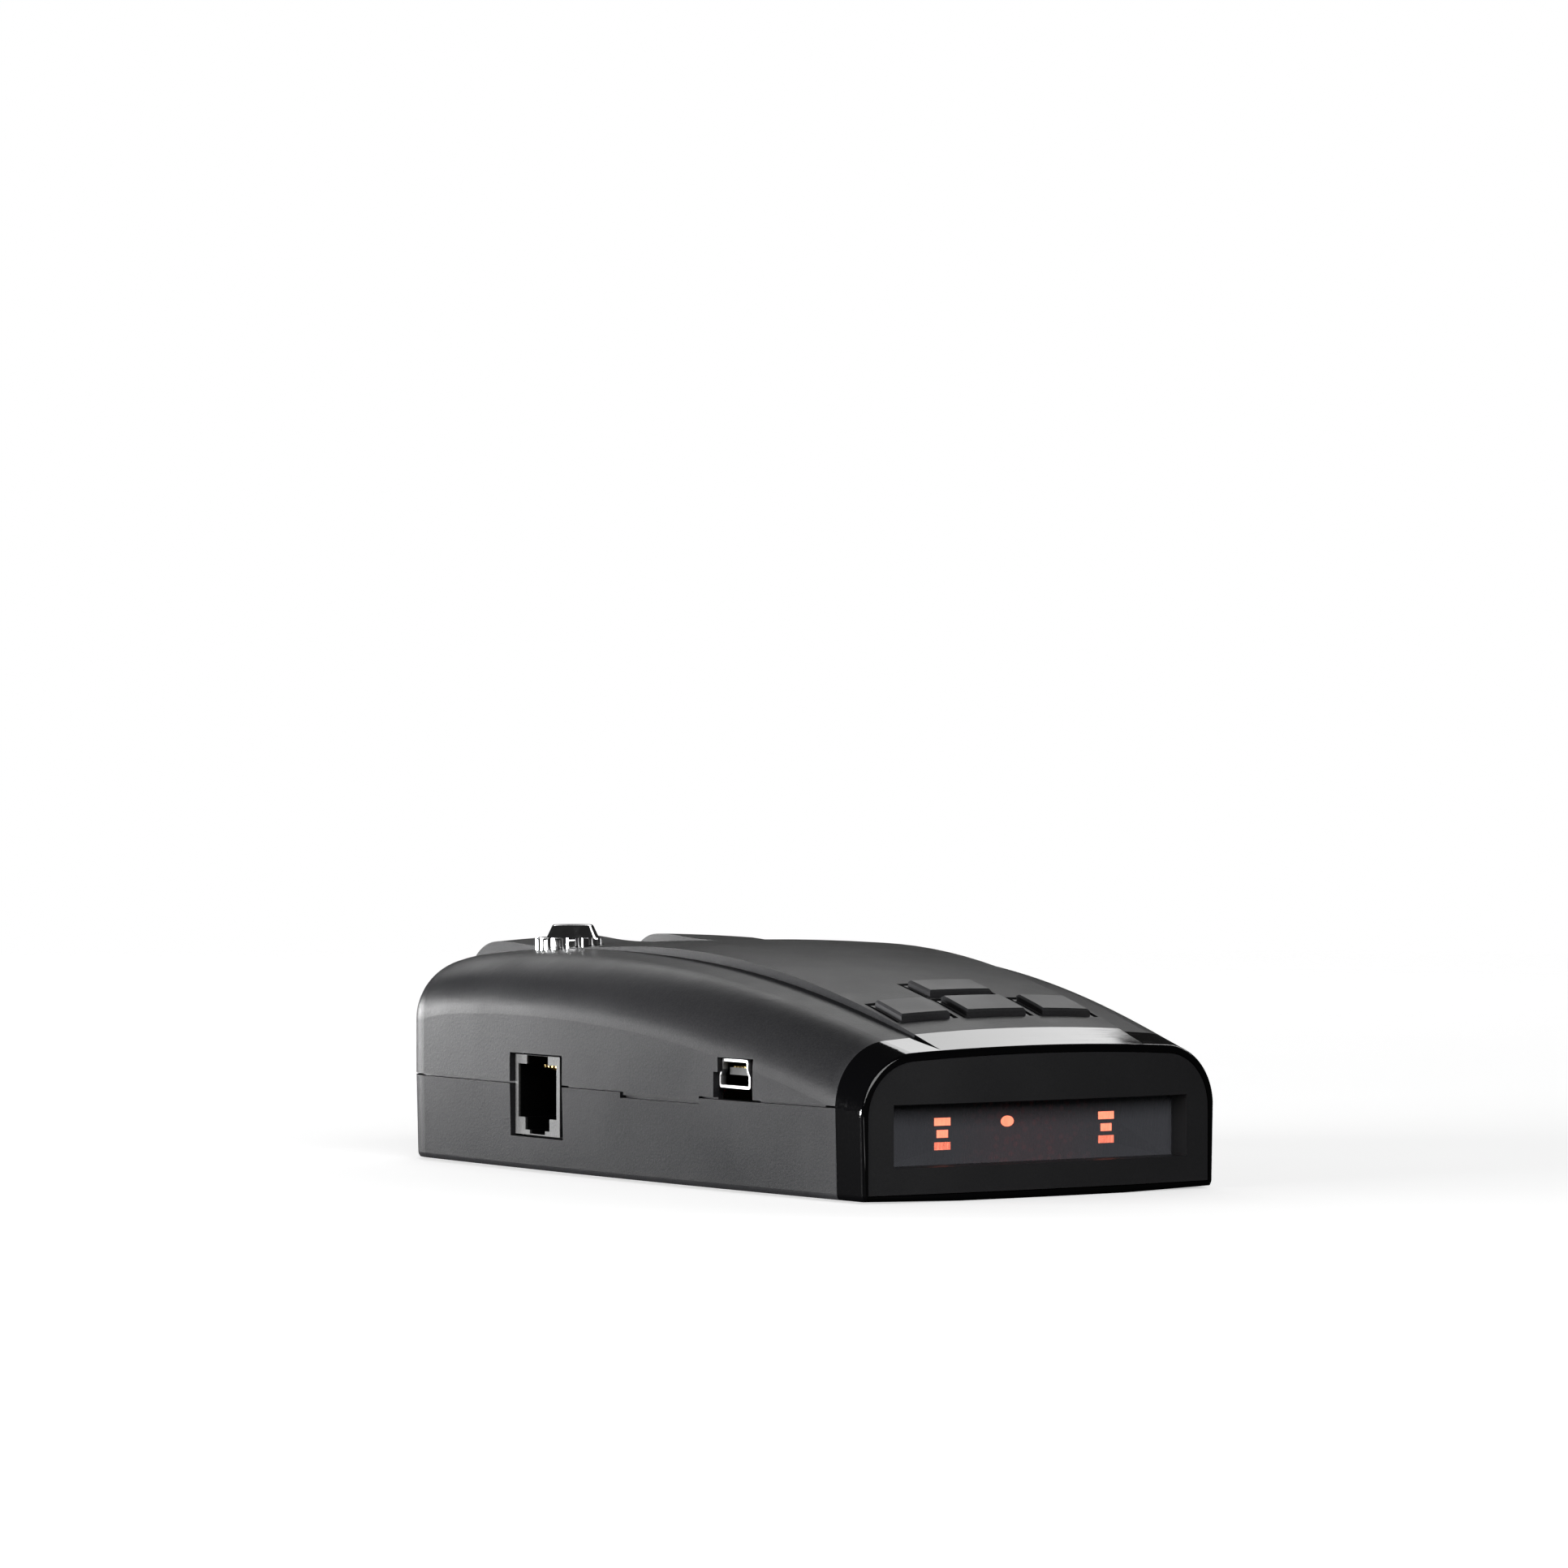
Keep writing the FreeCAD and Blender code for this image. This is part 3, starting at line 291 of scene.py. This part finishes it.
SLOTS = {
    "case_black": lambda n: moulded(
        n, (0.010, 0.010, 0.011), (0.019, 0.019, 0.020),
        roughness=0.34, grain=0.22, depth=0.020, wear=0.10, index=1.2),
    "bezel_gloss": lambda n: polished(n, (0.0010, 0.0010, 0.0012), roughness=0.05, ripple=0.002),
    "face_black": lambda n: moulded(
        n, (0.012, 0.012, 0.013), (0.021, 0.021, 0.022),
        roughness=0.42, grain=0.16, depth=0.010, wear=0.05, index=1.4),
    "key_black": lambda n: moulded(
        n, (0.017, 0.017, 0.018), (0.030, 0.030, 0.032),
        roughness=0.38, grain=0.20, depth=0.012, wear=0.08, index=1.35),
    "window_smoke": smoked_window,
    "display_light": lit_marks,
    "module_grey": light_block,
    "board_green": circuit_board,
    "connector_black": lambda n: moulded(
        n, (0.010, 0.010, 0.010), (0.022, 0.022, 0.022),
        roughness=0.5, grain=0.3, depth=0.015, wear=0.1),
    "chip_black": lambda n: moulded(
        n, (0.012, 0.012, 0.013), (0.024, 0.024, 0.026),
        roughness=0.55, grain=0.15, depth=0.010, wear=0.1),
    # painted shade inside the jack's mouth
    "jack_plastic": lambda n: painted_shade_inside(
        moulded(
            n, (0.030, 0.030, 0.030), (0.075, 0.075, 0.075),
            roughness=0.55, grain=0.30, depth=0.05, wear=0.1),
        mouth=JACK_FACE_X, depth=0.4),
    "gasket_foam": lambda n: moulded(
        n, (0.012, 0.012, 0.012), (0.035, 0.035, 0.035),
        roughness=0.9, grain=0.35, depth=0.08),
    "lead_red": lambda n: moulded(
        n, (0.35, 0.015, 0.012), (0.50, 0.03, 0.02), roughness=0.42, grain=0.4, depth=0.01),
    "magnet_grey": lambda n: moulded(
        n, (0.05, 0.05, 0.052), (0.10, 0.10, 0.105),
        roughness=0.6, grain=0.4, depth=0.03, wear=0.2),
    "lens_dark": lambda n: polished(n, (0.035, 0.002, 0.003), roughness=0.06),
    "capacitor_can": lambda n: metal(
        n, (0.74, 0.74, 0.76), roughness=0.30, grain=0.3, depth=0.006, stretch=(1, 1, 0.05)),
    "switch_steel": lambda n: metal(n, (0.60, 0.60, 0.61), roughness=0.28, grain=0.25, depth=0.006),
    "screw_steel": lambda n: metal(n, (0.55, 0.55, 0.57), roughness=0.30, grain=0.25, depth=0.008),
    "screw_black": lambda n: metal(n, (0.08, 0.08, 0.085), roughness=0.38, grain=0.25, depth=0.008),
    "contact_gold": lambda n: metal(
        n, (0.90, 0.66, 0.28), roughness=0.20, grain=0.3, depth=0.004, stretch=(0.1, 1, 1)),
    # painted shade inside the USB shell's mouth
    "shell_steel": lambda n: painted_shade_inside(
        metal(
            n, (0.95, 0.95, 0.96),
            roughness=0.36, grain=0.3, depth=0.004, stretch=(0.1, 1, 1), tarnish=0.95),
        mouth=USB_FACE_X, depth=0.9),
    "cast_alloy": lambda n: metal(n, (0.58, 0.58, 0.60), roughness=0.48, grain=0.6, depth=0.05),
    "shield_steel": lambda n: metal(
        n, (0.66, 0.66, 0.68), roughness=0.32, grain=0.4, depth=0.01, stretch=(1, 1, 0.1)),
    "spring_steel": lambda n: metal(n, (0.50, 0.50, 0.53), roughness=0.25, grain=0.2, depth=0.004),
    "button_chrome": lambda n: metal(
        n, (0.86, 0.86, 0.87),
        roughness=0.07, grain=0.8, depth=0.002, stretch=(1, 1, 1), tarnish=0.93),
    "patch_ceramic": ceramic,
    "cone_paper": lambda n: pulp(n, (0.015, 0.015, 0.015), (0.05, 0.05, 0.05)),
    "label_silver": lambda n: pulp(n, (0.52, 0.52, 0.53), (0.60, 0.60, 0.61), ridge=0.004),
}

slot_of = {row["node"]: row["material_slot"] for row in frame["record"]["subparts"]}
materials = {name: SLOTS[name](name).material for name in sorted(set(slot_of.values()))}
for name, piece in nodes.items():
    piece.data.materials.clear()
    piece.data.materials.append(materials[slot_of[name]])


def make_latch_coil():
    """The latch spring as its own piece on the case body, standing for its hidden CAD node."""
    node = nodes["latch_spring"]
    coil = bpy.data.objects.new("latch_coil", node.data.copy())
    bpy.context.scene.collection.objects.link(coil)
    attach(coil, "case")
    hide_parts("latch_spring")
    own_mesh(coil)


make_latch_coil()


# ---- floor, light and camera ------------------------------------------------------------

def make_floor():
    """A pale, softly glowing disc that fades into the backdrop. Only the camera sees it pale:
    to the case it is dark, so the case isn't lit from below."""
    bpy.ops.mesh.primitive_circle_add(
        vertices=96, radius=FLOOR_RADIUS, fill_type="NGON", location=(0, 0, 0))
    floor = bpy.context.object
    floor.name = "floor"
    s = Shader("floor")
    pale = s.mix(s.noise(40 * MM, 2.0), (0.80, 0.80, 0.80), (0.84, 0.84, 0.84))
    seen = s.add("ShaderNodeLightPath").outputs["Is Camera Ray"]
    s.link(s.mix(seen, (0.02, 0.02, 0.02), pale), s.bsdf.inputs["Base Color"])
    s.set(Emission_Color=(1, 1, 1, 1))
    s.link(s.ramp(seen, 0.0, 1.0, 0.0, 0.55), s.bsdf.inputs["Emission Strength"])
    s.set(Roughness=0.8, Specular_IOR_Level=0.1)
    distance = s.add("ShaderNodeVectorMath", operation="LENGTH")
    s.link(s.place, distance.inputs[0])
    s.link(s.ramp(distance.outputs["Value"], 0.35, 1.1, 1.0, 0.0), s.bsdf.inputs["Alpha"])
    floor.data.materials.append(s.material)


def softbox(name, azimuth, elevation, width, height, radiance, distance=1.4):
    """A rectangular light aimed at the case. Azimuth runs from +Y towards +X; azimuth,
    elevation, width and height are in degrees as the case sees them."""
    turn = math.radians(azimuth)
    rise = math.radians(elevation)
    data = bpy.data.lights.new(name, "AREA")
    data.shape = "RECTANGLE"
    data.size = 2 * distance * math.tan(math.radians(width / 2))
    data.size_y = 2 * distance * math.tan(math.radians(height / 2))
    data.energy = radiance * math.pi * data.size * data.size_y
    lamp = bpy.data.objects.new(name, data)
    level = math.cos(rise)
    place = Vector((level * math.sin(turn), level * math.cos(turn), math.sin(rise)))
    lamp.location = place * distance
    lamp.rotation_mode = "QUATERNION"
    lamp.rotation_quaternion = (-place).to_track_quat("-Z", "Y")
    bpy.context.scene.collection.objects.link(lamp)
    lamp.visible_camera = False


def make_world(backdrop, fill):
    """The camera sees a white backdrop; the case sees a dim room."""
    world = bpy.data.worlds.new("studio")
    world.use_nodes = True
    tree = world.node_tree
    path = tree.nodes.new("ShaderNodeLightPath")
    mix = tree.nodes.new("ShaderNodeMix")
    mix.data_type = "RGBA"
    tree.links.new(path.outputs["Is Camera Ray"], mix.inputs["Factor"])
    colours = [socket for socket in mix.inputs if socket.type == "RGBA"]
    colours[0].default_value = (fill, fill, fill, 1)
    colours[1].default_value = (backdrop, backdrop, backdrop, 1)
    result = [socket for socket in mix.outputs if socket.type == "RGBA"][0]
    tree.links.new(result, tree.nodes["Background"].inputs["Color"])
    bpy.context.scene.world = world


def make_camera():
    data = bpy.data.cameras.new("camera")
    data.lens = CAMERA_LENS
    data.sensor_width = 36.0
    data.clip_start = 0.01
    data.clip_end = 50.0
    camera = bpy.data.objects.new("camera", data)
    camera.location = CAMERA_PLACE
    camera.rotation_euler = (math.radians(90), 0, CAMERA_TURN)
    bpy.context.scene.collection.objects.link(camera)
    bpy.context.scene.camera = camera


bpy.context.scene.view_settings.view_transform = "Standard"
make_floor()
make_world(backdrop=1.0, fill=0.02)
softbox("left_box", azimuth=-78, elevation=3, width=44, height=10, radiance=72)
softbox("rear_box", azimuth=-18, elevation=3, width=32, height=10, radiance=20)
softbox("back_box", azimuth=45, elevation=34.5, width=84, height=13, radiance=3.0)
softbox("front_box", azimuth=-168, elevation=25, width=40, height=30, radiance=4.6)
make_camera()
